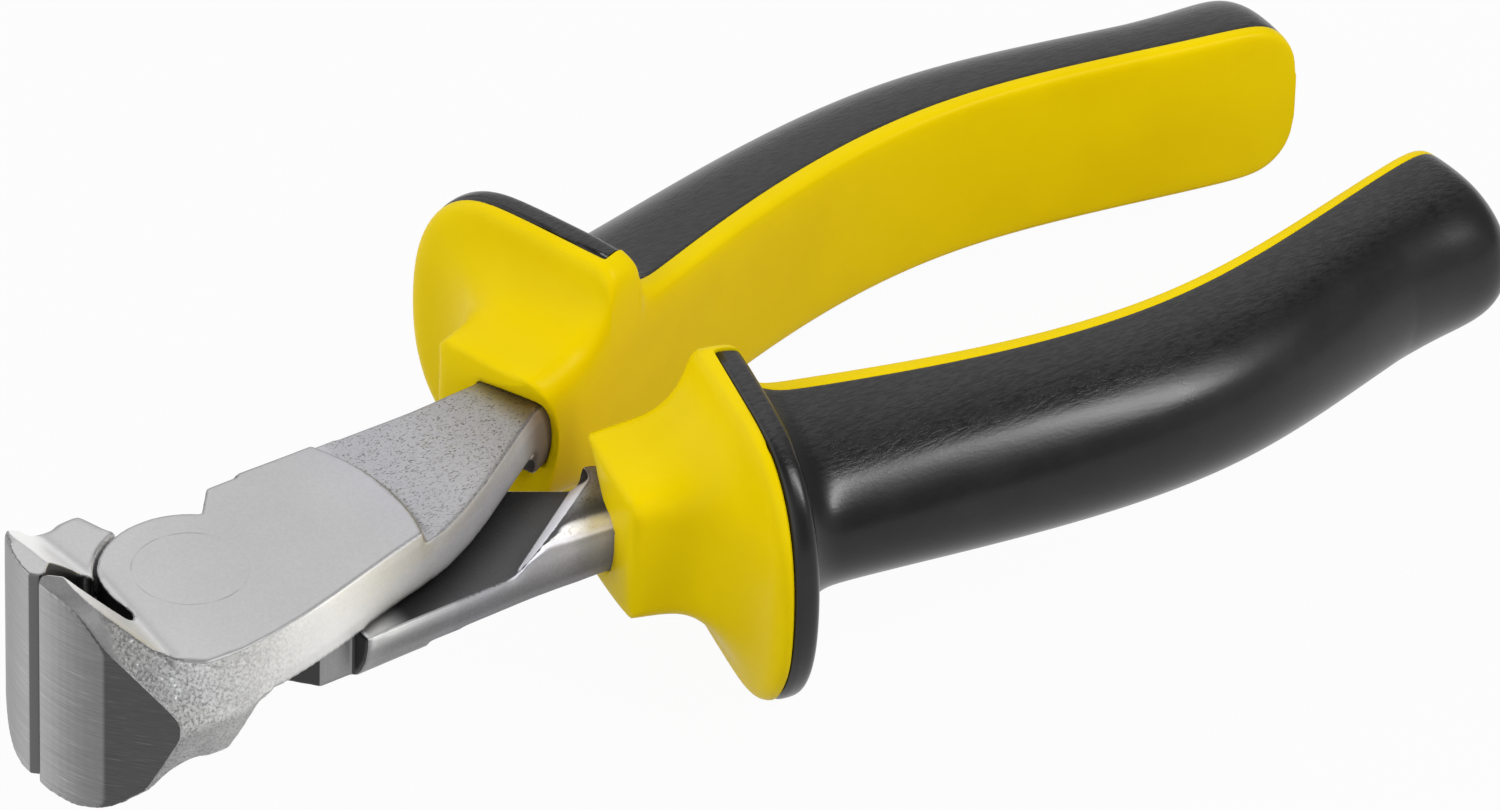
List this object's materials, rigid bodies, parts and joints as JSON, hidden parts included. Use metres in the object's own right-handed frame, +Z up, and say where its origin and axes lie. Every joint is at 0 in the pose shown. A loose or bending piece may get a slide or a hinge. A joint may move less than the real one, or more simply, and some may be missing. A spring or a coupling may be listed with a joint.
{
  "type": "end cutting nippers",
  "caption": "Riveted end cutting nippers with broad forged jaws meeting edge to edge, a flush pivot rivet and bowed two-part moulded handles with guard flanges.",
  "frame": {"origin": "under the middle of the closed tool, at the bottom of the guard flanges", "axes": "+X from the jaws to the handle ends, +Y to the far handle, +Z up along the rivet"},
  "size_m": [0.161, 0.0668, 0.031],
  "materials": {
    "upper_steel": "satin ground faces, shot-blasted flanks",
    "lower_steel": "satin ground faces, shot-blasted flanks",
    "rivet_steel": "ground flush with the joint face",
    "upper_yellow": "satin gloss",
    "lower_yellow": "satin gloss",
    "upper_black": "satin with a fine grain",
    "lower_black": "satin with a fine grain"
  },
  "bodies": {
    "upper": {"upper_half": "upper_steel", "pivot_rivet": "rivet_steel", "upper_collar": "upper_yellow", "upper_grip": "upper_black"},
    "lower": {"lower_half": "lower_steel", "lower_collar": "lower_yellow", "lower_grip": "lower_black"}
  },
  "joints": [
    {"name": "pivot", "type": "hinge", "parent": "upper", "child": "lower", "pos_m": [-0.0621, 0, 0.0155], "axis": [0, 0, -1], "range_deg": [0, 40]}
  ]
}
